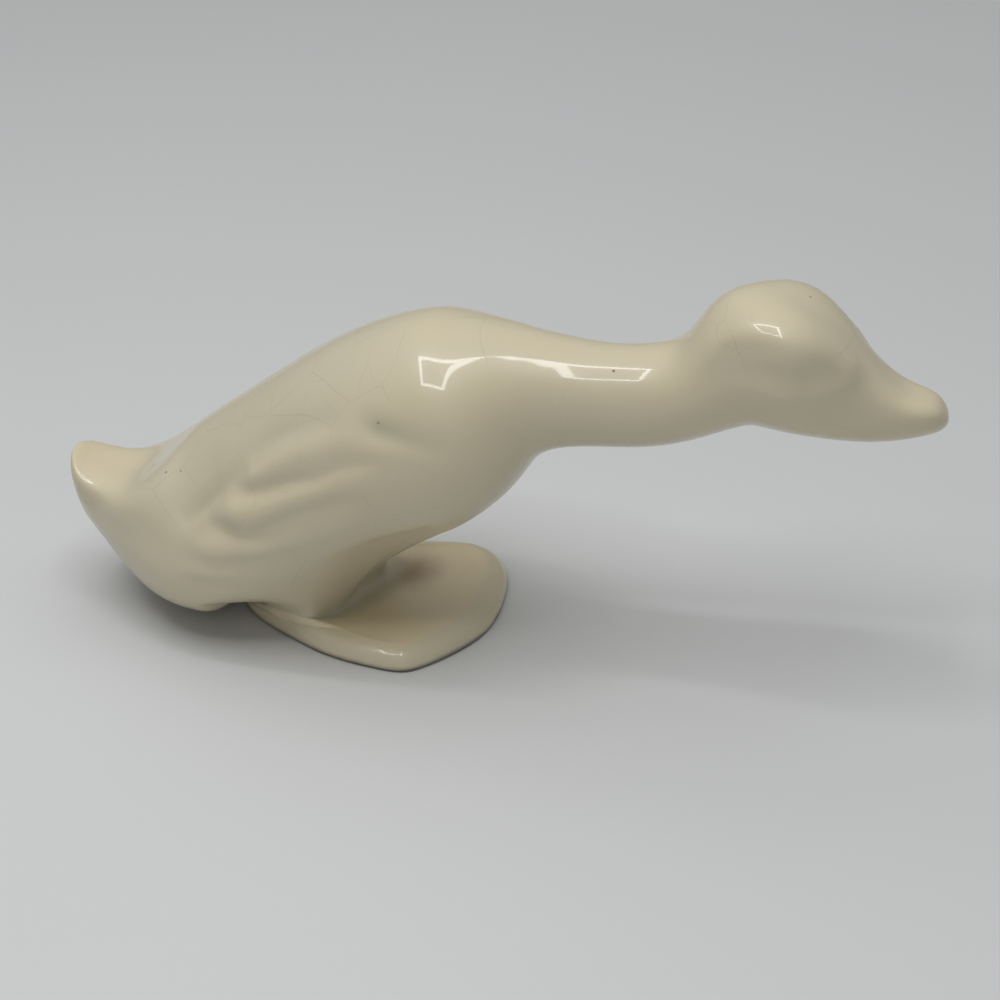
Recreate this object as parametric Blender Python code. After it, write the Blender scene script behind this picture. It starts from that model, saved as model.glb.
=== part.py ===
"""A slip-cast earthenware duck with its neck stretched forward, standing on one webbed foot pad.

The duck is one hollow casting. Its body, neck, head and tail are one lofted skin, drawn through
oval sections. A seam is left open in the belly, and the leg and the dished foot grow down from it
as further rows of the same skin. The feathers and the face are shallow modelling on that skin.

Units here are millimetres, turned into metres when the mesh is made. +X points along the bill,
+Z is up and the table is at z = 0. The drawing's x starts a little behind the neck, and the
finished duck is slid so that the middle of its length and width stands over the origin.
"""

import math
from collections import namedtuple

import bmesh
import bpy
import numpy as np

MM = 0.001

# Sections of the skin from the tail to the bill, each an oval standing across the body.
# x and z are its middle, lean tips its top backward in degrees, fullness moves its widest
# place up, corner squares its upper half, and seam is the angle from the belly line at which
# the leg would leave it.
Section = namedtuple("Section", "x z half_height lean half_width fullness corner seam")
TAIL_TIP = (-80.6, 27.4)
TAIL_END = Section(-78.6, 24.2, 2.4, -45, 6.1, 0.20, 0.10, 52)
TAIL = Section(-75.0, 20.0, 6.1, -42, 8.0, 0.25, 0.20, 52)
TAIL_ROOT = Section(-69.8, 18.3, 9.0, -30, 11.7, 0.15, 0.20, 52)
RUMP = Section(-61.0, 17.3, 14.5, -8, 17.3, -0.15, 0.10, 48)
WING_END = Section(-52.0, 18.5, 17.2, 12, 20.7, -0.30, 0.0, 60)
HIP = Section(-40.0, 24.4, 19.0, 20, 21.2, -0.22, 0.0, 64)
BACK = Section(-23.5, 36.4, 18.8, 20, 21.2, -0.12, 0.00, 52)
SHOULDER = Section(-11.0, 41.4, 19.9, 12, 20.3, -0.08, 0.00, 54)
BREAST = Section(-2.0, 46.4, 16.3, 22, 18.3, -0.05, 0.00, 54)
NECK_ROOT = Section(6.0, 49.6, 11.6, 18, 12.1, 0.00, 0.00, 52)
LOWER_NECK = Section(18.0, 49.9, 9.1, 5, 9.4, 0.00, 0.00, 52)
UPPER_NECK = Section(29.0, 51.1, 8.8, 8, 9.3, 0.00, 0.00, 52)
NAPE = Section(37.0, 54.8, 9.0, 22, 10.5, 0.00, 0.00, 52)
CROWN = Section(43.0, 59.8, 11.8, 12, 10.7, 0.0, 0.0, 52)
BROW = Section(51.0, 59.4, 11.5, -12, 12.0, 0.08, 0.16, 52)
BILL_ROOT = Section(59.7, 55.3, 8.7, -25, 9.1, -0.05, 0.10, 52)
BILL = Section(68.2, 52.2, 5.4, -24, 6.5, 0.05, 0.14, 52)
BILL_END = Section(75.1, 52.1, 3.3, -18, 4.3, 0.10, 0.10, 52)
BILL_TIP = (78.1, 51.4)
SECTIONS = (
    TAIL_END, TAIL, TAIL_ROOT, RUMP, WING_END, HIP, BACK, SHOULDER, BREAST,
    NECK_ROOT, LOWER_NECK, UPPER_NECK, NAPE, CROWN, BROW, BILL_ROOT, BILL, BILL_END,
)

# Modelling on the skin, each a soft ridge (height above 0) or groove along a smooth line that is
# drawn on the duck's side as x, z. Reach is how far it spreads to either side. A stroke starts
# bluntly, within a share of its length, and loses most of its height toward its end.
Stroke = namedtuple("Stroke", "height reach line")
FEATHERS = (
    Stroke(0.8, 9.0, ((-44, 27), (-34, 33), (-22, 39))),
    Stroke(2.2, 2.9, ((-40.5, 34.8), (-37.6, 37.2), (-32.5, 40.1), (-26.8, 42.5), (-20, 44.8), (-14, 46))),
    Stroke(2.1, 2.8, ((-45.6, 28.9), (-40.5, 29.6), (-36, 31.2), (-31, 34), (-26, 36.6), (-20, 38.8))),
    Stroke(1.6, 2.7, ((-50, 21.7), (-45, 22), (-40, 22.5), (-33, 25.3), (-27, 27.8), (-20, 31))),
    Stroke(0.8, 1.8, ((-51, 17.4), (-45, 17.6), (-38, 18.3))),
)
FEATHER_GROOVES = (
    Stroke(-1.7, 2.3, ((-53, 25), (-46.5, 30.4), (-42.5, 34.6), (-38.6, 39.6), (-33, 44), (-25.7, 47.6))),
    Stroke(-1.4, 2.2, ((-18.5, 48.6), (-13.7, 47.7), (-10, 46.8), (-5.4, 46))),
    Stroke(-1.8, 1.5, ((-40.5, 32.7), (-35.5, 34.8), (-31, 36.9), (-26.5, 38.8), (-22.5, 41.2),
                       (-16.5, 42.5))),
    Stroke(-1.6, 1.5, ((-46, 26), (-41.9, 25.8), (-37.9, 26.5), (-32.4, 30), (-28.8, 32), (-22.3, 34.6))),
    Stroke(-0.7, 1.6, ((-49, 15.4), (-43, 15.4))),
)
FACE = (
    Stroke(0.5, 2.6, ((40, 67.0), (46.5, 69.4), (52.5, 68.6), (57.5, 66.4))),
    Stroke(-0.9, 3.0, ((56.5, 63.6), (53, 64.6), (46.7, 64.8), (41, 63.4))),
    Stroke(-0.5, 2.2, ((57.5, 62.4), (52, 62.0))),
    Stroke(0.6, 1.9, ((60.6, 65.0), (61.6, 62.6), (60, 61.0), (56.5, 60.0), (51, 59.6))),
)
STROKE_START = 0.12
STROKE_FADE = 0.65

# The modelling is left off near the ridge of the back: none up to the first angle from it, and
# all of it past the second, in degrees.
BARE_ANGLE = 18.0
MODELLED_ANGLE = 36.0

# The foot, knot by knot from the heel round the near side: its edge on the table as x, y, how wide
# and high its rim is, where the leg meets the foot as x, y, how high that is, and how much the leg
# flares there, from 0 where it drops straight down to 1 where it sweeps out level.
Knot = namedtuple("Knot", "edge rim_width rim_height leg leg_height flare")
FOOT = (
    Knot((-48.4, 0.0), 0.5, 1.2, (-47.5, 0.0), 1.6, 0.0),
    Knot((-43.6, -8.3), 0.5, 2.2, (-43.2, -7.8), 3.2, 0.0),
    Knot((-33.2, -14.8), 0.9, 3.8, (-33.0, -13.8), 5.4, 0.0),
    Knot((-27.6, -17.4), 3.9, 3.8, (-29.8, -11.6), 4.2, 0.6),
    Knot((-21.5, -19.0), 3.7, 3.8, (-28.2, -8.8), 3.4, 0.9),
    Knot((-14.6, -19.8), 3.5, 3.9, (-27.0, -6.2), 3.1, 1.0),
    Knot((-10.0, -18.2), 3.7, 3.9, (-25.2, -3.0), 3.0, 1.0),
    Knot((-4.6, -11.8), 4.6, 3.8, (-23.8, 0.0), 3.0, 1.0),
    Knot((-0.4, -3.0), 5.5, 3.7, (-22.6, 3.0), 3.0, 1.0),
    Knot((0.2, 7.4), 5.3, 3.7, (-22.0, 6.0), 3.0, 1.0),
    Knot((-1.6, 16.4), 4.4, 3.8, (-22.2, 8.6), 3.0, 1.0),
    Knot((-6.4, 21.4), 3.6, 3.9, (-23.4, 11.0), 3.0, 1.0),
    Knot((-13.0, 22.2), 3.4, 3.9, (-25.2, 12.8), 3.1, 1.0),
    Knot((-21.5, 20.6), 3.6, 3.8, (-28.2, 13.6), 3.4, 0.9),
    Knot((-27.8, 18.2), 3.6, 3.8, (-30.4, 13.6), 4.2, 0.6),
    Knot((-33.4, 15.6), 0.9, 3.8, (-33.2, 14.6), 5.4, 0.0),
    Knot((-43.4, 8.6), 0.5, 2.2, (-43.0, 8.1), 3.2, 0.0),
)
NEAR_HEEL = 1
NEAR_TOE = 5.5
DISH_CURVE = 3.5
SOLE_RADIUS = 0.5
RIM_ROUNDNESS = 2.0

# Where the leg leaves the belly, and how it turns down from it. The two pulls are how far the
# leg keeps to the skin's way and to the foot's. Along the front of its sides it turns in under
# the belly instead, and so leaves the belly a soft edge.
LEG_BACK_X = -51.0
LEG_FRONT_X = -6.0
SKIN_PULL = 0.8
FOOT_PULL = 0.7
BELLY_EDGE = 0.35
BELLY_EDGE_DROP = 0.4
EDGE_FADE = 6.0
LEAST_DROP = 0.2

# The casting: an even wall, and the hole in the sole that the slip was poured through.
WALL = 4.2
POUR_HOLE_DIAMETER = 11.0
POUR_HOLE_X = -35.0
CAVITY_FIRST = SECTIONS.index(TAIL_ROOT)
CAVITY_LAST = SECTIONS.index(BROW)

# How finely the skin is divided.
RING_PITCH = 2.4
TIP_STEPS = 3
COLUMNS = 48
SEAM_COLUMNS = 8
LEG_ROWS = 6
DISH_ROWS = 5
RIM_ROWS = 6
CAVITY_PITCH = 5.0
CAVITY_COLUMNS = 20
HOLE_SIDES = 32
LINE_STEPS = 4

GLAZE_COLOUR = (0.60, 0.55, 0.43, 1.0)
GLAZE_ROUGHNESS = 0.12


def closed_spline(knots, places):
    """Points at the places on a smooth closed curve through knots one unit apart."""
    knots = np.asarray(knots, float)
    count = len(knots)
    unit = np.eye(count)
    ahead = np.roll(knots, -1, axis=0)
    behind = np.roll(knots, 1, axis=0)
    slopes = np.linalg.solve(4 * unit + np.roll(unit, 1, 0) + np.roll(unit, -1, 0), 3 * (ahead - behind))
    first = np.floor(places).astype(int)
    part = places - first
    if knots.ndim > 1:
        part = part[:, None]
    start = first % count
    end = (first + 1) % count
    return (knots[start] * (1 + 2 * part) * (1 - part) ** 2 + slopes[start] * part * (1 - part) ** 2
            + knots[end] * part ** 2 * (3 - 2 * part) + slopes[end] * part ** 2 * (part - 1))


def smooth_step(value, low, high):
    """0 below low, 1 above high, and a soft rise between them."""
    part = np.clip((value - low) / (high - low), 0, 1)
    return part * part * (3 - 2 * part)


def edge_points(sections, tail_tip, bill_tip, shrink=0.0):
    """The side outline as a loop: along the back to the bill, and home along the belly."""
    tops, bottoms = [], []
    for section in sections:
        reach = section.half_height - shrink
        lean = math.radians(section.lean)
        step = (reach * math.sin(lean), reach * math.cos(lean))
        tops.append((section.x - step[0], section.z + step[1]))
        bottoms.append((section.x + step[0], section.z - step[1]))
    return np.array([tail_tip, *tops, bill_tip, *reversed(bottoms)])


def there_and_back(values, at_tail, at_bill, sign=1):
    """The values as a loop that matches the side outline's."""
    return np.array([at_tail, *values, at_bill, *(sign * value for value in reversed(values))])


def ring_places(outline, pitch):
    """Where rings stand along the sections, about one pitch apart and closer at both tips."""
    spans = len(outline) // 2
    middles = (outline[:spans + 1] + np.vstack([outline[:1], outline[:spans - 1:-1]])) / 2
    places = []
    for span in range(spans):
        length = np.linalg.norm(middles[span + 1] - middles[span])
        steps = max(TIP_STEPS, round(length / pitch))
        places.extend(span + step / steps for step in range(steps))
    return np.array(places[1:])


def column_angles(seams, columns, seam_columns):
    """Each ring's column angles from the top, with even columns below and above the seam."""
    half = columns // 2
    upper = np.linspace(0, 1, half - seam_columns + 1)
    lower = np.linspace(0, 1, seam_columns + 1)[1:]
    seam = math.pi - np.radians(seams)[:, None]
    near = np.hstack([upper * seam, seam + lower * (math.pi - seam)])
    return np.hstack([near, 2 * math.pi - near[:, -2:0:-1]])


def lofted_rings(sections, tail_tip, bill_tip, pitch, columns, seam_columns, shrink=0.0):
    """Rings of points across the body from tail to bill, and each point's column angle."""
    outline = edge_points(sections, tail_tip, bill_tip, shrink)
    widths = there_and_back([section.half_width - shrink for section in sections], 0, 0, -1)
    fullness = [section.fullness for section in sections]
    fullness = there_and_back(fullness, fullness[0], fullness[-1])
    seams = [section.seam for section in sections]
    seams = there_and_back(seams, seams[0], seams[-1])
    places = ring_places(outline, pitch)
    tops = closed_spline(outline, places)
    bottoms = closed_spline(outline, len(outline) - places)
    angles = column_angles(closed_spline(seams, places), columns, seam_columns)
    across = closed_spline(widths, places)[:, None] * np.sin(angles)
    across = across * (1 + closed_spline(fullness, places)[:, None] * np.cos(angles))
    corners = [section.corner for section in sections]
    corners = closed_spline(there_and_back(corners, corners[0], corners[-1]), places)[:, None]
    squared = 1 + corners * np.where(np.cos(angles) > 0, np.sin(2 * angles) ** 2, 0)
    middle = (tops + bottoms)[:, None, :] / 2
    upward = (tops - bottoms)[:, None, :] / 2 * (np.cos(angles) * squared)[:, :, None]
    across = across * squared
    side_view = middle + upward
    return np.stack([side_view[..., 0], -across, side_view[..., 1]], axis=-1), angles


def grid_normals(grid):
    """Outward directions at the points of a grid of closed rings."""
    around = np.roll(grid, -1, axis=1) - np.roll(grid, 1, axis=1)
    along = np.gradient(grid, axis=0)
    normals = np.cross(around, along)
    return normals / np.linalg.norm(normals, axis=-1, keepdims=True)


def smooth_line(points):
    """A stroke's line as many short steps through its points."""
    points = np.array(points, float)
    before = np.vstack([2 * points[:1] - points[1:2], points[:-1]])
    after = np.vstack([points[1:], 2 * points[-1:] - points[-2:-1]])
    slopes = (after - before) / 2
    steps = []
    for start in range(len(points) - 1):
        part = np.linspace(0, 1, LINE_STEPS, endpoint=False)[:, None]
        steps.append(points[start] * (1 + 2 * part) * (1 - part) ** 2
                     + slopes[start] * part * (1 - part) ** 2
                     + points[start + 1] * part ** 2 * (3 - 2 * part)
                     + slopes[start + 1] * part ** 2 * (part - 1))
    return np.vstack([*steps, points[-1:]])


def stroke_height(points, stroke):
    """The height of one stroke at x, z points, which starts bluntly and fades along its line."""
    line = smooth_line(stroke.line)
    nearest = np.full(points.shape[:-1], np.inf)
    where = np.zeros(points.shape[:-1])
    for step, (start, end) in enumerate(zip(line[:-1], line[1:])):
        along = end - start
        part = np.clip(((points - start) @ along) / (along @ along), 0, 1)
        distance = np.linalg.norm(points - start - part[..., None] * along, axis=-1)
        closer = distance < nearest
        nearest = np.where(closer, distance, nearest)
        where = np.where(closer, (step + part) / (len(line) - 1), where)
    fade = smooth_step(where, -STROKE_START, STROKE_START) * (1 - STROKE_FADE * where)
    return stroke.height * fade * np.exp(-(nearest / stroke.reach) ** 2)


def modelled_rings(grid, angles):
    """The skin with its feathers and face pressed out of its sides."""
    side_view = grid[..., [0, 2]]
    height = sum(stroke_height(side_view, stroke) for stroke in FEATHERS + FEATHER_GROOVES + FACE)
    from_ridge = np.degrees(np.minimum(angles, 2 * math.pi - angles))
    height *= smooth_step(from_ridge, BARE_ANGLE, MODELLED_ANGLE)
    return grid + grid_normals(grid) * height[..., None]


def seam_loop(rings, columns, seam_columns):
    """Index pairs (ring, column) round the belly opening, from the heel along the near side."""
    first, last = rings
    middle = columns // 2
    near, far = middle - seam_columns, middle + seam_columns
    loop = [(first, column) for column in range(middle, near, -1)]
    loop += [(ring, near) for ring in range(first, last)]
    loop += [(last, column) for column in range(near, far)]
    loop += [(ring, far) for ring in range(last, first, -1)]
    loop += [(first, column) for column in range(far, middle, -1)]
    return loop


def seam_places(rings, seam_columns):
    """The place among the foot's knots that belongs to each point of the belly opening."""
    rows = rings[1] - rings[0]
    knots = len(FOOT)
    back = np.linspace(0, NEAR_HEEL, seam_columns, endpoint=False)
    near = np.linspace(NEAR_HEEL, NEAR_TOE, rows, endpoint=False)
    front = np.linspace(NEAR_TOE, knots - NEAR_TOE, 2 * seam_columns, endpoint=False)
    far = np.linspace(knots - NEAR_TOE, knots - NEAR_HEEL, rows, endpoint=False)
    home = np.linspace(knots - NEAR_HEEL, knots, seam_columns, endpoint=False)
    return np.concatenate([back, near, front, far, home])


def inward_offset(outline, widths):
    """An outline moved inward by its own width at each knot."""
    outline = np.asarray(outline, float)
    along = np.roll(outline, -1, axis=0) - np.roll(outline, 1, axis=0)
    inward = np.stack([-along[:, 1], along[:, 0]], axis=1)
    inward /= np.linalg.norm(inward, axis=1, keepdims=True)
    return outline + inward * np.asarray(widths)[:, None]


def at_height(plan, height):
    """Plan points lifted to a height."""
    return np.column_stack([plan, np.broadcast_to(height, len(plan))])


def unit(vectors):
    """Vectors of length one."""
    return vectors / np.linalg.norm(vectors, axis=-1, keepdims=True)


def seam_directions(grid, loop, rings):
    """The way the skin runs on into the belly opening, turned under along the front of its sides."""
    middle_column = COLUMNS // 2
    middle_ring = sum(rings) / 2
    half_rows = (rings[1] - rings[0]) / 2
    directions = []
    for ring, column in loop:
        here = grid[ring, column]
        to_ring = (middle_ring - ring) / half_rows
        to_column = (middle_column - column) / SEAM_COLUMNS
        along = unit(grid[ring + (1 if to_ring > 0 else -1), column] - here)
        across = unit(grid[ring, column + (1 if to_column > 0 else -1)] - here)
        into = unit(along * abs(to_ring) + across * abs(to_column))
        edge = BELLY_EDGE * abs(to_column) * smooth_step(here[0], BACK.x - EDGE_FADE, BACK.x + EDGE_FADE)
        under = unit(np.array([0, -np.sign(here[1]), -BELLY_EDGE_DROP]))
        directions.append(unit(into * (1 - edge) + under * edge))
    return np.array(directions)


def leg_rows(start, into, end, arriving):
    """Rows from the belly opening down to the foot, leaving and arriving along given ways."""
    reach = np.linalg.norm(end - start, axis=1)[:, None]
    leave = into * reach * SKIN_PULL
    arrive = arriving * reach * FOOT_PULL
    rows = []
    for part in np.linspace(0, 1, LEG_ROWS + 1)[1:]:
        rows.append(start * (1 + 2 * part) * (1 - part) ** 2 + leave * part * (1 - part) ** 2
                    + end * part ** 2 * (3 - 2 * part) + arrive * part ** 2 * (part - 1))
    return rows


def foot_rows(places):
    """Rows from the leg across the dish, over the rim and down to the sole."""
    edges = [knot.edge for knot in FOOT]
    outline = closed_spline(edges, places)
    leg = closed_spline([knot.leg for knot in FOOT], places)
    leg_height = closed_spline([knot.leg_height for knot in FOOT], places)
    dish = closed_spline(inward_offset(edges, [knot.rim_width for knot in FOOT]), places)
    rim_height = closed_spline([knot.rim_height for knot in FOOT], places)
    sole = closed_spline(inward_offset(edges, [SOLE_RADIUS] * len(FOOT)), places)
    rows = []
    for part in np.linspace(0, 1, DISH_ROWS + 1):
        height = leg_height + (rim_height - leg_height) * part ** DISH_CURVE
        rows.append(at_height(leg + (dish - leg) * part, height))
    for part in np.linspace(0, 1, RIM_ROWS + 1)[1:]:
        turn = part * math.pi / 2
        out = math.sin(turn) ** (2 / RIM_ROUNDNESS)
        up = math.cos(turn) ** (2 / RIM_ROUNDNESS)
        rows.append(at_height(dish + (outline - dish) * out, SOLE_RADIUS + (rim_height - SOLE_RADIUS) * up))
    rows.append(at_height(sole, 0))
    return rows


def leg_and_foot_rows(grid, rings, loop):
    """Every row from the belly opening down to the sole."""
    places = seam_places(rings, SEAM_COLUMNS)
    start = np.array([grid[ring, column] for ring, column in loop])
    foot = foot_rows(places)
    outward = unit((foot[-2] - foot[-1]) * np.array([1, 1, 0]))
    down = np.array([0, 0, -1.0])
    flare = closed_spline([knot.flare for knot in FOOT], places)[:, None]
    arriving = unit(outward * flare + down * (1 + LEAST_DROP - flare))
    into = seam_directions(grid, loop, rings)
    return leg_rows(start, into, foot[0], arriving) + foot[1:]


def body_faces(ring_count, rings):
    """Faces between the body's rings, leaving out the belly opening."""
    first, last = COLUMNS // 2 - SEAM_COLUMNS, COLUMNS // 2 + SEAM_COLUMNS
    faces = []
    for ring in range(ring_count - 1):
        for column in range(COLUMNS):
            in_opening = rings[0] <= ring < rings[1] and first <= column < last
            if not in_opening:
                start, after = ring * COLUMNS, (column + 1) % COLUMNS
                faces.append((start + column, start + COLUMNS + column,
                              start + COLUMNS + after, start + after))
    return faces


def end_faces(start, columns, tip, order):
    """A fan of faces from an end ring, whose first point is start, to its tip."""
    fans = []
    for column in range(columns):
        side = (start + column, start + (column + 1) % columns)
        fans.append((tip, *side[::order]))
    return fans


def skin_mesh():
    """The whole outer skin: points and faces."""
    grid, angles = lofted_rings(SECTIONS, TAIL_TIP, BILL_TIP, RING_PITCH, COLUMNS, SEAM_COLUMNS)
    grid = modelled_rings(grid, angles)
    belly = grid[:, COLUMNS // 2, 0]
    rings = (int(np.argmax(belly > LEG_BACK_X)), int(np.argmax(belly > LEG_FRONT_X)))
    loop = seam_loop(rings, COLUMNS, SEAM_COLUMNS)
    points = [*grid.reshape(-1, 3), (TAIL_TIP[0], 0, TAIL_TIP[1]), (BILL_TIP[0], 0, BILL_TIP[1])]
    last_ring = (len(grid) - 1) * COLUMNS
    faces = body_faces(len(grid), rings)
    faces += end_faces(0, COLUMNS, len(points) - 2, 1)
    faces += end_faces(last_ring, COLUMNS, len(points) - 1, -1)
    upper = [ring * COLUMNS + column for ring, column in loop]
    for row in leg_and_foot_rows(grid, rings, loop):
        lower = [len(points) + index for index in range(len(row))]
        points.extend(row)
        for index in range(len(row)):
            after = (index + 1) % len(row)
            faces.append((upper[index], lower[index], lower[after], upper[after]))
        upper = lower
    faces.append(tuple(reversed(upper)))
    return np.array(points), faces


def cavity_mesh():
    """The space that the drained slip leaves inside, as a closed solid."""
    tail, head = SECTIONS[CAVITY_FIRST], SECTIONS[CAVITY_LAST]
    inner = SECTIONS[CAVITY_FIRST + 1:CAVITY_LAST]
    seam_columns = SEAM_COLUMNS * CAVITY_COLUMNS // COLUMNS
    grid, _ = lofted_rings(inner, (tail.x, tail.z), (head.x, head.z), CAVITY_PITCH,
                           CAVITY_COLUMNS, seam_columns, WALL)
    points = [*grid.reshape(-1, 3), (tail.x, 0, tail.z), (head.x, 0, head.z)]
    last_ring = (len(grid) - 1) * CAVITY_COLUMNS
    faces = end_faces(0, CAVITY_COLUMNS, len(points) - 2, 1)
    faces += end_faces(last_ring, CAVITY_COLUMNS, len(points) - 1, -1)
    for start in range(0, last_ring, CAVITY_COLUMNS):
        for column in range(CAVITY_COLUMNS):
            after = (column + 1) % CAVITY_COLUMNS
            faces.append((start + column, start + CAVITY_COLUMNS + column,
                          start + CAVITY_COLUMNS + after, start + after))
    return np.array(points), faces


def mesh_object(name, points, faces):
    """A smooth-shaded object from millimetre points, with its faces turned outward."""
    mesh = bpy.data.meshes.new(name)
    mesh.from_pydata((points * MM).tolist(), [], faces)
    work = bmesh.new()
    work.from_mesh(mesh)
    bmesh.ops.recalc_face_normals(work, faces=work.faces)
    work.to_mesh(mesh)
    work.free()
    mesh.shade_smooth()
    built = bpy.data.objects.new(name, mesh)
    bpy.context.scene.collection.objects.link(built)
    return built


def glaze_material():
    """The cream crackle glaze."""
    material = bpy.data.materials.new("cream_glaze")
    material.use_nodes = True
    shader = material.node_tree.nodes["Principled BSDF"]
    shader.inputs["Base Color"].default_value = GLAZE_COLOUR
    shader.inputs["Roughness"].default_value = GLAZE_ROUGHNESS
    shader.inputs["Metallic"].default_value = 0.0
    return material


def cut(target, cutter):
    """Take the cutter's shape out of the target."""
    cutter.hide_render = True
    cutter.display_type = "WIRE"
    modifier = target.modifiers.new(cutter.name, "BOOLEAN")
    modifier.operation = "DIFFERENCE"
    modifier.solver = "EXACT"
    modifier.object = cutter


def pour_hole(middle, height):
    """A round rod through the sole, up to a height inside."""
    place = (np.array([POUR_HOLE_X, 0, 0]) - middle) * MM
    bpy.ops.mesh.primitive_cylinder_add(vertices=HOLE_SIDES, radius=POUR_HOLE_DIAMETER / 2 * MM,
                                        depth=2 * height * MM, location=place)
    rod = bpy.context.object
    rod.name = "pour_hole"
    return rod


def clear_scene():
    """Start from nothing."""
    for old in list(bpy.data.objects):
        bpy.data.objects.remove(old, do_unlink=True)


def main():
    """Cast the duck, with the middle of its length and width over the origin."""
    clear_scene()
    points, faces = skin_mesh()
    middle = (points.min(axis=0) + points.max(axis=0)) / 2 * np.array([1, 1, 0])
    duck = mesh_object("duck_casting", points - middle, faces)
    duck.data.materials.append(glaze_material())
    inner_points, inner_faces = cavity_mesh()
    cut(duck, mesh_object("cavity", inner_points - middle, inner_faces))
    cavity_floor = HIP.z - HIP.half_height + WALL
    cut(duck, pour_hole(middle, cavity_floor + POUR_HOLE_DIAMETER / 2))


main()
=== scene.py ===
"""A cream crackle-glazed earthenware duck on a pale table.

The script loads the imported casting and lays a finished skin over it: the same sections, seam and
foot as the casting's, drawn much finer, with its feathers and face modelled crisply, the glaze's
slight swell, its crackle, pinholes and stains, and the bare clay of the sole. It then sets up a
plain table, a soft rectangular ring of lamps and a camera.

Sizes that shape the duck are in millimetres and are turned into metres when its mesh is made.
"""

import math
from collections import namedtuple

import bmesh
import bpy
import numpy as np
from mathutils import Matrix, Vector


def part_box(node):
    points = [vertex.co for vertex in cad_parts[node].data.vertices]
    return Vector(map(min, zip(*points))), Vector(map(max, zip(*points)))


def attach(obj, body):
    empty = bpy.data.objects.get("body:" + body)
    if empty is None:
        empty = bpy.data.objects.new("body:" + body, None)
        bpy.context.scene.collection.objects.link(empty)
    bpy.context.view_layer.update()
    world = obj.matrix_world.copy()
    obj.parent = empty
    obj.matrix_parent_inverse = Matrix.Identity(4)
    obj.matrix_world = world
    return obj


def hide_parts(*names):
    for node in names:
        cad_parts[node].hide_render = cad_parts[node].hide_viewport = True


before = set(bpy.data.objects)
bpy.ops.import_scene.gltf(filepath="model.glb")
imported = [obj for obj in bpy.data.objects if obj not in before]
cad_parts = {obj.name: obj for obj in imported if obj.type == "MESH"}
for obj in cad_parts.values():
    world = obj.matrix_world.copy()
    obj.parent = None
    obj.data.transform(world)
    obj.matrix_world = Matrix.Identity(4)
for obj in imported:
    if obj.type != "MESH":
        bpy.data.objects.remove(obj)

bl_info = {
    "name": "Crackle Glaze Duck",
    "version": (1, 0, 0),
    "blender": (4, 5, 0),
    "location": "3D View > Sidebar > Duck",
    "description": "Builds a cast earthenware duck with a cream crackle glaze, and its table and light",
    "category": "Object",
}

CASTING = "duck_casting"
BODY = "root"
MM = 0.001

# Sections of the skin from the tail to the bill, each an oval standing across the body.
# x and z are its middle, lean tips its top backward in degrees, fullness moves its widest
# place up, corner squares its upper half, and seam is the angle from the belly line at which
# the leg would leave it.
Section = namedtuple("Section", "x z half_height lean half_width fullness corner seam")
TAIL_TIP = (-80.6, 27.4)
TAIL_END = Section(-78.6, 24.2, 2.4, -45, 6.1, 0.20, 0.10, 52)
TAIL = Section(-75.0, 20.0, 6.1, -42, 8.0, 0.25, 0.20, 52)
TAIL_ROOT = Section(-69.8, 18.3, 9.0, -30, 11.7, 0.15, 0.20, 52)
RUMP = Section(-61.0, 17.3, 14.5, -8, 17.3, -0.15, 0.10, 48)
WING_END = Section(-52.0, 18.5, 17.2, 12, 20.7, -0.30, 0.0, 60)
HIP = Section(-40.0, 24.4, 19.0, 20, 21.2, -0.22, 0.0, 64)
BACK = Section(-23.5, 36.4, 18.8, 20, 21.2, -0.12, 0.00, 52)
SHOULDER = Section(-11.0, 41.4, 19.9, 12, 20.3, -0.08, 0.00, 54)
BREAST = Section(-2.0, 46.4, 16.3, 22, 18.3, -0.05, 0.00, 54)
NECK_ROOT = Section(6.0, 49.6, 11.6, 18, 12.1, 0.00, 0.00, 52)
LOWER_NECK = Section(18.0, 49.9, 9.1, 5, 9.4, 0.00, 0.00, 52)
UPPER_NECK = Section(29.0, 51.1, 8.8, 8, 9.3, 0.00, 0.00, 52)
NAPE = Section(37.0, 54.8, 9.0, 22, 10.5, 0.00, 0.00, 52)
CROWN = Section(43.0, 59.8, 11.8, 12, 10.7, 0.0, 0.0, 52)
BROW = Section(51.0, 59.4, 11.5, -12, 12.0, 0.08, 0.16, 52)
BILL_ROOT = Section(59.7, 55.3, 8.7, -25, 9.1, -0.05, 0.10, 52)
BILL = Section(68.2, 52.2, 5.4, -24, 6.5, 0.05, 0.14, 52)
BILL_END = Section(75.1, 52.1, 3.3, -18, 4.3, 0.10, 0.10, 52)
BILL_TIP = (78.1, 51.4)
SECTIONS = (
    TAIL_END, TAIL, TAIL_ROOT, RUMP, WING_END, HIP, BACK, SHOULDER, BREAST,
    NECK_ROOT, LOWER_NECK, UPPER_NECK, NAPE, CROWN, BROW, BILL_ROOT, BILL, BILL_END,
)

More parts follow.
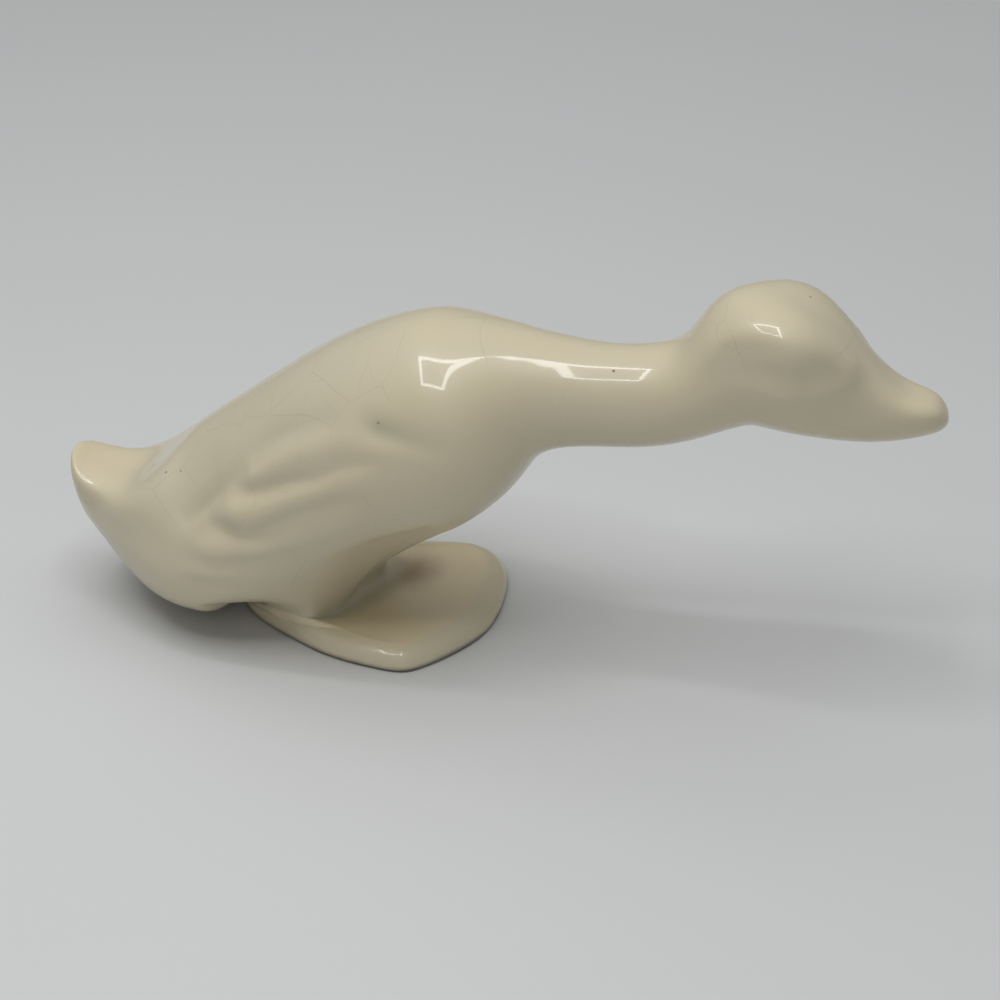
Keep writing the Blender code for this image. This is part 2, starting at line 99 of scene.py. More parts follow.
# Modelling on the skin, each a soft ridge (height above 0) or groove along a smooth line that is
# drawn on the duck's side as x, z. Reach is how far it spreads to either side. It starts bluntly
# at the line's first point and fades out toward its last.
Stroke = namedtuple("Stroke", "height reach line")
FEATHERS = (
    Stroke(0.9, 9.0, ((-44, 27), (-34, 33), (-22, 39))),
    Stroke(1.1, 2.2, ((-40.3, 34.9), (-37.9, 36.9), (-33.1, 40.2), (-27.3, 43.1), (-21.9, 45.5))),
    Stroke(1.0, 2.2, (
        (-45.2, 28.6), (-39.6, 29.8), (-35.2, 31.7), (-30.1, 34.4), (-24.6, 37.2), (-19.2, 38.7))),
    Stroke(0.85, 2.0, ((-50, 21.6), (-45.5, 22), (-41.2, 22.3), (-35, 24.1), (-27.2, 27.5), (-20.2, 31))),
    Stroke(0.5, 1.4, ((-51, 17.3), (-45.5, 17.4), (-38, 18.1))),
)
FEATHER_GROOVES = (
    Stroke(-1.0, 1.8, (
        (-52.5, 25.6), (-45.8, 31.4), (-41.8, 35.5), (-37.5, 40.8), (-32, 44.7), (-25.7, 47.8))),
    Stroke(-0.8, 2.0, ((-17.9, 48.4), (-13.7, 47.9), (-10, 47.3), (-5.4, 46.5))),
    Stroke(-0.9, 1.3, (
        (-40.5, 32.9), (-35.3, 35.1), (-30.8, 37.2), (-26.3, 38.8), (-22.4, 41.3), (-16.5, 42.8))),
    Stroke(-0.8, 1.4, (
        (-46.1, 26.1), (-41.9, 26), (-37.9, 26.7), (-32.4, 30.4), (-28.8, 32.3), (-22.3, 35.1))),
    Stroke(-0.45, 1.2, ((-43, 20.4), (-37, 22.1), (-30, 24.4))),
    Stroke(-0.35, 1.2, ((-49, 15.4), (-43, 15.4))),
)
FACE = (
    Stroke(0.6, 1.9, ((38, 62.5), (40.5, 66.5), (47.3, 69.2), (53.4, 68.3), (58.2, 66))),
    Stroke(-0.7, 2.6, ((57.0, 62.0), (53.1, 62.6), (46.7, 63.0), (40.5, 60.8))),
    Stroke(0.5, 1.8, ((60.4, 64.6), (61.6, 62.2), (59.6, 60.4), (55.5, 59.4), (50, 59))),
)

# A stroke takes this share of its line to rise at its start, and has lost this share of its height
# at its end. Within the bare angle of the back's middle line nothing is modelled, and beyond the
# modelled angle all of it is.
STROKE_START = 0.15
STROKE_FADE = 0.7
BARE_ANGLE = 18.0
MODELLED_ANGLE = 36.0

# The foot, knot by knot from the heel round the near side: its edge on the table as x, y, how wide
# and high its rim is, where the leg meets the foot as x, y, how high that is, and how much the leg
# flares there, from 0 where it drops straight down to 1 where it sweeps out level.
Knot = namedtuple("Knot", "edge rim_width rim_height leg leg_height flare")
FOOT = (
    Knot((-48.4, 0.0), 0.5, 1.2, (-47.5, 0.0), 1.6, 0.0),
    Knot((-43.6, -8.3), 0.5, 2.2, (-43.2, -7.8), 3.2, 0.0),
    Knot((-33.2, -14.8), 0.9, 3.8, (-33.0, -13.8), 5.4, 0.0),
    Knot((-27.6, -17.4), 3.9, 3.8, (-29.8, -11.6), 4.2, 0.6),
    Knot((-21.5, -19.0), 3.7, 3.8, (-28.2, -8.8), 3.4, 0.9),
    Knot((-14.6, -19.8), 3.5, 3.9, (-27.0, -6.2), 3.1, 1.0),
    Knot((-10.0, -18.2), 3.7, 3.9, (-25.2, -3.0), 3.0, 1.0),
    Knot((-4.6, -11.8), 4.6, 3.8, (-23.8, 0.0), 3.0, 1.0),
    Knot((-0.4, -3.0), 5.5, 3.7, (-22.6, 3.0), 3.0, 1.0),
    Knot((0.2, 7.4), 5.3, 3.7, (-22.0, 6.0), 3.0, 1.0),
    Knot((-1.6, 16.4), 4.4, 3.8, (-22.2, 8.6), 3.0, 1.0),
    Knot((-6.4, 21.4), 3.6, 3.9, (-23.4, 11.0), 3.0, 1.0),
    Knot((-13.0, 22.2), 3.4, 3.9, (-25.2, 12.8), 3.1, 1.0),
    Knot((-21.5, 20.6), 3.6, 3.8, (-28.2, 13.6), 3.4, 0.9),
    Knot((-27.8, 18.2), 3.6, 3.8, (-30.4, 13.6), 4.2, 0.6),
    Knot((-33.4, 15.6), 0.9, 3.8, (-33.2, 14.6), 5.4, 0.0),
    Knot((-43.4, 8.6), 0.5, 2.2, (-43.0, 8.1), 3.2, 0.0),
)
NEAR_HEEL = 1
NEAR_TOE = 5.5
DISH_CURVE = 3.5
SOLE_RADIUS = 0.5
RIM_ROUNDNESS = 2.0

# Where the leg leaves the belly, and how it turns down from it. The two pulls are how far the
# leg keeps to the skin's way and to the foot's. Along the front of its sides it turns in under
# the belly instead, and so leaves the belly a soft edge.
LEG_BACK_X = -51.0
LEG_FRONT_X = -6.0
SKIN_PULL = 0.8
FOOT_PULL = 0.7
BELLY_EDGE = 0.35
BELLY_EDGE_DROP = 0.4
EDGE_FADE = 6.0
LEAST_DROP = 0.2

# The pour hole in the sole and the space inside, whose wall is even.
WALL = 4.2
POUR_HOLE_DIAMETER = 11.0
POUR_HOLE_X = -35.0
CAVITY_FIRST = SECTIONS.index(TAIL_ROOT)
CAVITY_LAST = SECTIONS.index(BROW)

# How finely the skin, a stroke's line, the pour hole and the table's edge are divided.
RING_PITCH = 0.85
TIP_STEPS = 8
COLUMNS = 192
SEAM_COLUMNS = 32
LEG_ROWS = 20
DISH_ROWS = 14
RIM_ROWS = 12
CAVITY_PITCH = 4.0
CAVITY_COLUMNS = 36
HOLE_SIDES = 64
TABLE_SIDES = 64
LINE_STEPS = 6

# Where the glaze thickens and thins, and where the foot's dish is painted lighter as painted light. Each
# pair is where an effect starts and where it is full, or for the dish's ends where it starts to fade and
# where it has gone. Depths and heights are the
# modelling's, X runs along the duck, and rows count down from the belly.
POOLED_DEPTHS = (0.1, 0.9)
POOLED_X = (20, 0)
CREST_HEIGHTS = (0.5, 1.4)
CREASE_POOLING = 0.5
CREASE_ROWS = 4
CREASE_X = (-34, -28)
# The dish's rows take painted light: a lighter colour laid over the dish floor, which the breast shades.
DISH_PAINTED_LIGHT_STARTS = (LEG_ROWS, LEG_ROWS + 3)
DISH_PAINTED_LIGHT_ENDS = (LEG_ROWS + DISH_ROWS - 2, LEG_ROWS + DISH_ROWS + 2)

# Marks on the glaze, placed in metres from the middle of the sole, and how far each spreads. The
# pinholes alone are in millimetres, as the duck's own sizes are.
TAIL_BLUSH = (-0.076, 0.0, 0.030)
TAIL_BLUSH_REACH = (0.016, 0.02, 0.02)
STAIN = (-0.0165, 0.009, 0.004)
STAIN_REACH = (0.0075, 0.010, 0.008)
HEEL_POOL = (-0.041, -0.009, 0.004)
HEEL_POOL_REACH = (0.005, 0.004, 0.003)
PINHOLES = (
    (-57.2, -10.2, 30.1), (-54.2, -10.5, 30.9), (-40.6, -13.6, 38.3), (-37.2, -20.2, 29.4),
    (-25.8, -16.0, 17.5), (-14.9, -17.6, 49.1), (-45.5, -0.1, 41.9), (-4.0, -13.7, 28.0),
    (54.7, 2.8, 70.6), (49.8, -11.6, 60.2),
)
PINHOLE_RADIUS = 0.0004
SWELL_SEED = 4.0

# The glaze's patterns, in metres. Clouds have a size, specks one cell each and a share of the
# cells, and what wanders does so over a size and by a reach. The crackle is drawn out across the
# body, and a second, finer net of it lies aside from the first.
CLOUD = 0.035
FINE_CLOUD = 0.006
CRACKLE_STRETCH = (1, 0.35, 1)
CRACK_WIDTH = 0.00012
CRACK_CLOUD = 0.018
CRACK_WANDER = (0.03, 0.016)
SIDE_CRACK_WIDTH = 0.0001
SIDE_CRACK_CLOUD = 0.013
SIDE_CRACK_WANDER = (0.02, 0.01)
SIDE_CRACK_OFFSET = (0.31, 0.17, 0.05)
SIDE_CRACK_SHARE = 0.55
SPECK_CELL = 0.011
SPECK_RADIUS = 0.00032
SPECK_SHARE = 0.16
STAIN_WANDER = (0.008, 0.004)
DIRT_EDGE = (0.0019, 0.0005)
DIRT_WANDER = 0.0009
PITTING = 0.0007
RIPPLE = 0.004
RELIEF_DEPTH = 0.0004

# The clay's and the table's patterns, in metres too.
CLAY_CLOUD = 0.012
CLAY_GRAIN = 0.0009
CLAY_SPECK_CELL = 0.0035
CLAY_SPECK_RADIUS = 0.0003
CLAY_RELIEF_DEPTH = 0.0002
TABLE_CLOUD = 0.15
TABLE_MOTTLING = 0.97
DUST_CELL = 0.028
DUST_RADIUS = 0.0005

# A dot is full within this share of its radius, and cells are chosen for dots with a soft edge.
DOT_CORE = 0.6
CHOICE_EDGE = 0.01

# The sole is what lies lower than this and faces down.
SOLE_HEIGHT = 0.0004
SOLE_NORMAL = -0.9

# The ring of lamps over the table: its strips' middle lines as left, right, front and back.
RING_EDGES = (-0.17, 0.03, -0.19, 0.0)
RING_WIDTH = 0.022
RING_HEIGHT = 0.4

# The wide soft panel over the duck and the low one before it, and the camera's lens and aim.
PANEL_PLACE = (-0.1, 0.2, 0.85)
PANEL_SIZE = 1.3
LOW_PANEL_PLACE = (0.12, -0.45, 0.20)
LOW_PANEL_SIZE = 0.5
LENS = 80.0
AIM = (0.0023, 0.0, 0.02637)


def unit(vectors):
    """Vectors of length one."""
    return vectors / np.linalg.norm(vectors, axis=-1, keepdims=True)


def smooth_path(start, leave, end, arrive, part):
    """The place a part of the way along a path that leaves and arrives along given ways."""
    return (start * (1 + 2 * part) * (1 - part) ** 2 + leave * part * (1 - part) ** 2
            + end * part ** 2 * (3 - 2 * part) + arrive * part ** 2 * (part - 1))


def closed_spline(knots, places):
    """Points at the places on a smooth closed curve through knots one unit apart."""
    knots = np.asarray(knots, float)
    count = len(knots)
    own = np.eye(count)
    ahead = np.roll(knots, -1, axis=0)
    behind = np.roll(knots, 1, axis=0)
    slopes = np.linalg.solve(4 * own + np.roll(own, 1, 0) + np.roll(own, -1, 0), 3 * (ahead - behind))
    first = np.floor(places).astype(int)
    part = places - first
    if knots.ndim > 1:
        part = part[:, None]
    start = first % count
    end = (first + 1) % count
    return smooth_path(knots[start], slopes[start], knots[end], slopes[end], part)


def smooth_step(value, low, high):
    """0 at low, 1 at high and a soft rise between them, or a fall where low is above high."""
    part = np.clip((value - low) / (high - low), 0, 1)
    return part * part * (3 - 2 * part)


def edge_points(sections, tail_tip, bill_tip, shrink=0.0):
    """The side outline as a loop: along the back to the bill, and home along the belly."""
    tops, bottoms = [], []
    for section in sections:
        reach = section.half_height - shrink
        lean = math.radians(section.lean)
        step = (reach * math.sin(lean), reach * math.cos(lean))
        tops.append((section.x - step[0], section.z + step[1]))
        bottoms.append((section.x + step[0], section.z - step[1]))
    return np.array([tail_tip, *tops, bill_tip, *reversed(bottoms)])


def there_and_back(values, at_tail, at_bill, sign=1):
    """The values as a loop that matches the side outline's."""
    return np.array([at_tail, *values, at_bill, *(sign * value for value in reversed(values))])


def ring_places(outline, pitch):
    """Where rings stand along the sections, about one pitch apart and closer at both tips."""
    spans = len(outline) // 2
    middles = (outline[:spans + 1] + np.vstack([outline[:1], outline[:spans - 1:-1]])) / 2
    places = []
    for span in range(spans):
        length = np.linalg.norm(middles[span + 1] - middles[span])
        steps = max(TIP_STEPS, round(length / pitch))
        places.extend(span + step / steps for step in range(steps))
    return np.array(places[1:])


def column_angles(seams, columns, seam_columns):
    """Each ring's column angles from the top, with even columns below and above the seam."""
    half = columns // 2
    upper = np.linspace(0, 1, half - seam_columns + 1)
    lower = np.linspace(0, 1, seam_columns + 1)[1:]
    seam = math.pi - np.radians(seams)[:, None]
    near = np.hstack([upper * seam, seam + lower * (math.pi - seam)])
    return np.hstack([near, 2 * math.pi - near[:, -2:0:-1]])


def lofted_rings(sections, tail_tip, bill_tip, pitch, columns, seam_columns, shrink=0.0):
    """Rings of points across the body from tail to bill, and each point's column angle."""
    outline = edge_points(sections, tail_tip, bill_tip, shrink)
    widths = there_and_back([section.half_width - shrink for section in sections], 0, 0, -1)
    fullness = [section.fullness for section in sections]
    fullness = there_and_back(fullness, fullness[0], fullness[-1])
    seams = [section.seam for section in sections]
    seams = there_and_back(seams, seams[0], seams[-1])
    places = ring_places(outline, pitch)
    tops = closed_spline(outline, places)
    bottoms = closed_spline(outline, len(outline) - places)
    angles = column_angles(closed_spline(seams, places), columns, seam_columns)
    across = closed_spline(widths, places)[:, None] * np.sin(angles)
    across = across * (1 + closed_spline(fullness, places)[:, None] * np.cos(angles))
    corners = [section.corner for section in sections]
    corners = closed_spline(there_and_back(corners, corners[0], corners[-1]), places)[:, None]
    squared = 1 + corners * np.where(np.cos(angles) > 0, np.sin(2 * angles) ** 2, 0)
    middle = (tops + bottoms)[:, None, :] / 2
    upward = (tops - bottoms)[:, None, :] / 2 * (np.cos(angles) * squared)[:, :, None]
    across = across * squared
    side_view = middle + upward
    return np.stack([side_view[..., 0], -across, side_view[..., 1]], axis=-1), angles


def grid_normals(grid):
    """Outward directions at the points of a grid of closed rings."""
    around = np.roll(grid, -1, axis=1) - np.roll(grid, 1, axis=1)
    along = np.gradient(grid, axis=0)
    return unit(np.cross(around, along))


def smooth_line(points):
    """A stroke's line as many short steps through its points."""
    points = np.array(points, float)
    before = np.vstack([2 * points[:1] - points[1:2], points[:-1]])
    after = np.vstack([points[1:], 2 * points[-1:] - points[-2:-1]])
    slopes = (after - before) / 2
    parts = np.linspace(0, 1, LINE_STEPS, endpoint=False)[:, None]
    steps = [smooth_path(points[start], slopes[start], points[start + 1], slopes[start + 1], parts)
             for start in range(len(points) - 1)]
    return np.vstack([*steps, points[-1:]])


def stroke_height(points, stroke):
    """The height of one stroke at x, z points, which starts bluntly and fades along its line."""
    line = smooth_line(stroke.line)
    nearest = np.full(points.shape[:-1], np.inf)
    where = np.zeros(points.shape[:-1])
    for step, (start, end) in enumerate(zip(line[:-1], line[1:])):
        along = end - start
        part = np.clip(((points - start) @ along) / (along @ along), 0, 1)
        distance = np.linalg.norm(points - start - part[..., None] * along, axis=-1)
        closer = distance < nearest
        nearest = np.where(closer, distance, nearest)
        where = np.where(closer, (step + part) / (len(line) - 1), where)
    fade = smooth_step(where, -STROKE_START, STROKE_START) * (1 - STROKE_FADE * where)
    return stroke.height * fade * np.exp(-(nearest / stroke.reach) ** 2)


def modelled_rings(grid, angles):
    """The skin with its feathers and face pressed out of its sides, and how high each point is."""
    side_view = grid[..., [0, 2]]
    height = sum(stroke_height(side_view, stroke) for stroke in FEATHERS + FEATHER_GROOVES + FACE)
    from_ridge = np.degrees(np.minimum(angles, 2 * math.pi - angles))
    height *= smooth_step(from_ridge, BARE_ANGLE, MODELLED_ANGLE)
    return grid + grid_normals(grid) * height[..., None], height


def seam_loop(rings, columns, seam_columns):
    """Index pairs (ring, column) round the belly opening, from the heel along the near side."""
    first, last = rings
    middle = columns // 2
    near, far = middle - seam_columns, middle + seam_columns
    loop = [(first, column) for column in range(middle, near, -1)]
    loop += [(ring, near) for ring in range(first, last)]
    loop += [(last, column) for column in range(near, far)]
    loop += [(ring, far) for ring in range(last, first, -1)]
    loop += [(first, column) for column in range(far, middle, -1)]
    return loop


def seam_places(rings, seam_columns):
    """The place among the foot's knots that belongs to each point of the belly opening."""
    rows = rings[1] - rings[0]
    knots = len(FOOT)
    back = np.linspace(0, NEAR_HEEL, seam_columns, endpoint=False)
    near = np.linspace(NEAR_HEEL, NEAR_TOE, rows, endpoint=False)
    front = np.linspace(NEAR_TOE, knots - NEAR_TOE, 2 * seam_columns, endpoint=False)
    far = np.linspace(knots - NEAR_TOE, knots - NEAR_HEEL, rows, endpoint=False)
    home = np.linspace(knots - NEAR_HEEL, knots, seam_columns, endpoint=False)
    return np.concatenate([back, near, front, far, home])


def inward_offset(outline, widths):
    """An outline moved inward by its own width at each knot."""
    outline = np.asarray(outline, float)
    along = np.roll(outline, -1, axis=0) - np.roll(outline, 1, axis=0)
    inward = unit(np.stack([-along[:, 1], along[:, 0]], axis=1))
    return outline + inward * np.asarray(widths)[:, None]


def at_height(plan, height):
    """Plan points lifted to a height."""
    return np.column_stack([plan, np.broadcast_to(height, len(plan))])


def seam_directions(grid, loop, rings):
    """The way the skin runs on into the belly opening, turned under along the front of its sides."""
    middle_column = COLUMNS // 2
    middle_ring = sum(rings) / 2
    half_rows = (rings[1] - rings[0]) / 2
    directions = []
    for ring, column in loop:
        here = grid[ring, column]
        to_ring = (middle_ring - ring) / half_rows
        to_column = (middle_column - column) / SEAM_COLUMNS
        along = unit(grid[ring + (1 if to_ring > 0 else -1), column] - here)
        across = unit(grid[ring, column + (1 if to_column > 0 else -1)] - here)
        into = unit(along * abs(to_ring) + across * abs(to_column))
        edge = BELLY_EDGE * abs(to_column) * smooth_step(here[0], BACK.x - EDGE_FADE, BACK.x + EDGE_FADE)
        under = unit(np.array([0, -np.sign(here[1]), -BELLY_EDGE_DROP]))
        directions.append(unit(into * (1 - edge) + under * edge))
    return np.array(directions)


def leg_rows(start, into, end, arriving):
    """Rows from the belly opening down to the foot, leaving and arriving along given ways."""
    reach = np.linalg.norm(end - start, axis=1)[:, None]
    leave = into * reach * SKIN_PULL
    arrive = arriving * reach * FOOT_PULL
    return [smooth_path(start, leave, end, arrive, part) for part in np.linspace(0, 1, LEG_ROWS + 1)[1:]]


def foot_rows(places):
    """Rows from the leg across the dish, over the rim and down to the sole."""
    edges = [knot.edge for knot in FOOT]
    outline = closed_spline(edges, places)
    leg = closed_spline([knot.leg for knot in FOOT], places)
    leg_height = closed_spline([knot.leg_height for knot in FOOT], places)
    dish = closed_spline(inward_offset(edges, [knot.rim_width for knot in FOOT]), places)
    rim_height = closed_spline([knot.rim_height for knot in FOOT], places)
    sole = closed_spline(inward_offset(edges, [SOLE_RADIUS] * len(FOOT)), places)
    rows = []
    for part in np.linspace(0, 1, DISH_ROWS + 1):
        height = leg_height + (rim_height - leg_height) * part ** DISH_CURVE
        rows.append(at_height(leg + (dish - leg) * part, height))
    for part in np.linspace(0, 1, RIM_ROWS + 1)[1:]:
        turn = part * math.pi / 2
        out = math.sin(turn) ** (2 / RIM_ROUNDNESS)
        up = math.cos(turn) ** (2 / RIM_ROUNDNESS)
        rows.append(at_height(dish + (outline - dish) * out, SOLE_RADIUS + (rim_height - SOLE_RADIUS) * up))
    rows.append(at_height(sole, 0))
    return rows


def leg_and_foot_rows(grid, rings, loop):
    """Every row from the belly opening down to the sole."""
    places = seam_places(rings, SEAM_COLUMNS)
    start = np.array([grid[ring, column] for ring, column in loop])
    foot = foot_rows(places)
    outward = unit((foot[-2] - foot[-1]) * np.array([1, 1, 0]))
    down = np.array([0, 0, -1.0])
    flare = closed_spline([knot.flare for knot in FOOT], places)[:, None]
    arriving = unit(outward * flare + down * (1 + LEAST_DROP - flare))
    into = seam_directions(grid, loop, rings)
    return leg_rows(start, into, foot[0], arriving) + foot[1:]


def body_faces(ring_count, rings):
    """Faces between the body's rings, leaving out the belly opening."""
    first, last = COLUMNS // 2 - SEAM_COLUMNS, COLUMNS // 2 + SEAM_COLUMNS
    faces = []
    for ring in range(ring_count - 1):
        for column in range(COLUMNS):
            in_opening = rings[0] <= ring < rings[1] and first <= column < last
            if not in_opening:
                start, after = ring * COLUMNS, (column + 1) % COLUMNS
                faces.append((start + column, start + COLUMNS + column,
                              start + COLUMNS + after, start + after))
    return faces


def end_faces(start, columns, tip, order):
    """A fan of faces from an end ring, whose first point is start, to its tip. Order -1 flips them."""
    fans = []
    for column in range(columns):
        side = (start + column, start + (column + 1) % columns)
        fans.append((tip, *side[::order]))
    return fans


def skin_mesh():
    """The outer skin without its sole: points, faces, and each point's modelling and foot values."""
    grid, angles = lofted_rings(SECTIONS, TAIL_TIP, BILL_TIP, RING_PITCH, COLUMNS, SEAM_COLUMNS)
    grid, modelling = modelled_rings(grid, angles)
    belly = grid[:, COLUMNS // 2, 0]
    rings = (int(np.argmax(belly > LEG_BACK_X)), int(np.argmax(belly > LEG_FRONT_X)))
    loop = seam_loop(rings, COLUMNS, SEAM_COLUMNS)
    points = [*grid.reshape(-1, 3), (TAIL_TIP[0], 0, TAIL_TIP[1]), (BILL_TIP[0], 0, BILL_TIP[1])]
    modelling = [*modelling.reshape(-1), 0, 0]
    row_of = [-1.0] * len(points)
    faces = body_faces(len(grid), rings)
    faces += end_faces(0, COLUMNS, len(points) - 2, 1)
    faces += end_faces((len(grid) - 1) * COLUMNS, COLUMNS, len(points) - 1, -1)
    upper = [ring * COLUMNS + column for ring, column in loop]
    for number, row in enumerate(leg_and_foot_rows(grid, rings, loop)):
        lower = [len(points) + index for index in range(len(row))]
        points.extend(row)
        modelling.extend([0] * len(row))
        row_of.extend([number] * len(row))
        for index in range(len(row)):
            after = (index + 1) % len(row)
            faces.append((upper[index], lower[index], lower[after], upper[after]))
        upper = lower
    faces.append(tuple(reversed(upper)))
    return np.array(points), faces, np.array(modelling), np.array(row_of)


def cavity_mesh():
    """The space inside the casting, as a closed solid."""
    tail, head = SECTIONS[CAVITY_FIRST], SECTIONS[CAVITY_LAST]
    inner = SECTIONS[CAVITY_FIRST + 1:CAVITY_LAST]
    seam_columns = SEAM_COLUMNS * CAVITY_COLUMNS // COLUMNS
    grid, _ = lofted_rings(inner, (tail.x, tail.z), (head.x, head.z), CAVITY_PITCH,
                           CAVITY_COLUMNS, seam_columns, WALL)
    points = [*grid.reshape(-1, 3), (tail.x, 0, tail.z), (head.x, 0, head.z)]
    last_ring = (len(grid) - 1) * CAVITY_COLUMNS
    faces = end_faces(0, CAVITY_COLUMNS, len(points) - 2, 1)
    faces += end_faces(last_ring, CAVITY_COLUMNS, len(points) - 1, -1)
    for start in range(0, last_ring, CAVITY_COLUMNS):
        for column in range(CAVITY_COLUMNS):
            after = (column + 1) % CAVITY_COLUMNS
            faces.append((start + column, start + CAVITY_COLUMNS + column,
                          start + CAVITY_COLUMNS + after, start + after))
    return np.array(points), faces


def glaze_values(points, modelling, row_of):
    """How far each point of the skin lies in pooled glaze, on a crest, and in the foot's dish, which is
    painted lighter as painted light.
    """
    pooling = smooth_step(-modelling, *POOLED_DEPTHS) * smooth_step(points[:, 0], *POOLED_X)
    crease = CREASE_POOLING * np.exp(-((row_of - LEG_ROWS + 1) / CREASE_ROWS) ** 2)
    crease = crease * smooth_step(points[:, 0], *CREASE_X) * (row_of >= 0)
    return {
        "pooling": np.maximum(pooling, crease),
        "crest": smooth_step(modelling, *CREST_HEIGHTS),
        # The dish's value is painted light: it lays a lighter colour over the dish floor in the breast's
        # shade.
        "dish": smooth_step(row_of, *DISH_PAINTED_LIGHT_STARTS) * (1 - smooth_step(row_of, *DISH_PAINTED_LIGHT_ENDS)),
    }


def mesh_object(name, points, faces, attributes=None):
    """A smooth-shaded object from millimetre points, with its faces turned outward."""
    mesh = bpy.data.meshes.new(name)
    mesh.from_pydata((points * MM).tolist(), [], faces)
    for attribute, values in (attributes or {}).items():
        layer = mesh.attributes.new(attribute, "FLOAT", "POINT")
        layer.data.foreach_set("value", values.astype(np.float32))
    work = bmesh.new()
    work.from_mesh(mesh)
    bmesh.ops.recalc_face_normals(work, faces=work.faces)
    work.to_mesh(mesh)
    work.free()
    mesh.shade_smooth()
    made = bpy.data.objects.new(name, mesh)
    bpy.context.scene.collection.objects.link(made)
    return made


def settle(thing):
    """Turn an object and its live modifiers into a plain mesh."""
    depsgraph = bpy.context.evaluated_depsgraph_get()
    plain = bpy.data.meshes.new_from_object(thing.evaluated_get(depsgraph),
                                            preserve_all_data_layers=True, depsgraph=depsgraph)
    thing.modifiers.clear()
    thing.data = plain


def discard(thing):
    """Take an object out of the file."""
    bpy.data.objects.remove(thing, do_unlink=True)


class Value:
    """A socket in an expression: arithmetic on it adds Math nodes to its tree."""

    def __init__(self, tree, socket):
        self.tree = tree
        self.socket = socket

    def math(self, operation, *values):
        """A Math node on these values."""
        return self.tree.make("ShaderNodeMath", {"operation": operation}, dict(enumerate(values)))[0]

    def __add__(self, other):
        return self.math("ADD", self, other)

    def __sub__(self, other):
        return self.math("SUBTRACT", self, other)

    def __rsub__(self, other):
        return self.math("SUBTRACT", other, self)

    def __mul__(self, other):
        return self.math("MULTIPLY", self, other)

    def __rtruediv__(self, other):
        return self.math("DIVIDE", other, self)

    def clipped(self, low, high):
        """0 at low, 1 at high and a soft rise between them, or a fall where low is above high."""
        if low > high:
            return 1 - self.clipped(high, low)
        settings = {"interpolation_type": "SMOOTHSTEP"}
        return self.tree.make("ShaderNodeMapRange", settings, {
            "Value": self, "From Min": low, "From Max": high})[0]

    __radd__ = __add__
    __rmul__ = __mul__


class Tree:
    """A node tree, with one method that makes any node in it."""

    def __init__(self, owner):
        self.nodes = owner.nodes
        self.links = owner.links

    def make(self, kind, settings=None, values=None):
        """A new node's outputs. Its settings are set first, and then its sockets are fed."""
        node = self.nodes.new(kind)
        for name, setting in (settings or {}).items():
            setattr(node, name, setting)
        self.feed(node, values or {})
        return Outputs(self, node)

    def feed(self, node, values):
        """Set or link a node's sockets."""
        for name, value in values.items():
            if isinstance(value, Value):
                self.links.new(value.socket, node.inputs[name])
            else:
                node.inputs[name].default_value = value

    def blend(self, factor, first, second):
        """One colour passing into another."""
        mixed = self.make("ShaderNodeMix", {"data_type": "RGBA"}, {0: factor, 6: first, 7: second})
        return mixed[2]

    def moved(self, vector, offset, stretch=(1, 1, 1)):
        """A pattern's coordinates, moved and then stretched."""
        shifted = self.make("ShaderNodeVectorMath", {"operation": "SUBTRACT"}, {0: vector, 1: offset})[0]
        return self.make("ShaderNodeVectorMath", {"operation": "MULTIPLY"}, {0: shifted, 1: stretch})[0]

    def noise(self, vector, size, detail=2.0):
        """A cloudy value from 0 to 1 whose clouds are about a size in metres."""
        return self.make("ShaderNodeTexNoise", None, {
            "Vector": vector, "Scale": 1 / size, "Detail": detail})["Fac"]

    def wandering(self, vector, size, reach):
        """Coordinates pushed about by a cloudy vector, so that a pattern's lines wander."""
        cloud = self.make("ShaderNodeTexNoise", None, {"Vector": vector, "Scale": 1 / size})["Color"]
        push = self.moved(cloud, (0.5, 0.5, 0.5), (reach,) * 3)
        return self.make("ShaderNodeVectorMath", {"operation": "ADD"}, {0: vector, 1: push})[0]

    def cracks(self, vector, cell, width):
        """1 along the edges of cells, and 0 away from them."""
        edge = self.make("ShaderNodeTexVoronoi", {"feature": "DISTANCE_TO_EDGE"}, {
            "Vector": vector, "Scale": 1 / cell})["Distance"]
        return edge.clipped(width / cell, 0)

    def dots(self, vector, cell, radius, share):
        """1 inside small round dots, one in a share of the cells."""
        made = self.make("ShaderNodeTexVoronoi", {"feature": "F1"}, {"Vector": vector, "Scale": 1 / cell})
        chosen = self.make("ShaderNodeSeparateColor", None, {"Color": made["Color"]})["Red"]
        inside = made["Distance"].clipped(radius / cell, radius / cell * DOT_CORE)
        return inside * chosen.clipped(share + CHOICE_EDGE, share)

    def near(self, vector, centre, radii):
        """1 at a centre, falling softly to 0 at the radii."""
        inside = self.moved(vector, centre, tuple(1 / radius for radius in radii))
        away = self.make("ShaderNodeVectorMath", {"operation": "LENGTH"}, {0: inside})["Value"]
        return away.clipped(1, 0)


class Outputs:
    """A node's outputs by name or number, each ready for an expression."""

    def __init__(self, tree, node):
        self.tree = tree
        self.node = node

    def __getitem__(self, key):
        return Value(self.tree, self.node.outputs[key])


def new_material(name):
    """An empty Principled material and its tree."""
    material = bpy.data.materials.new(name)
    material.use_nodes = True
    tree = Tree(material.node_tree)
    return material, tree, material.node_tree.nodes["Principled BSDF"]


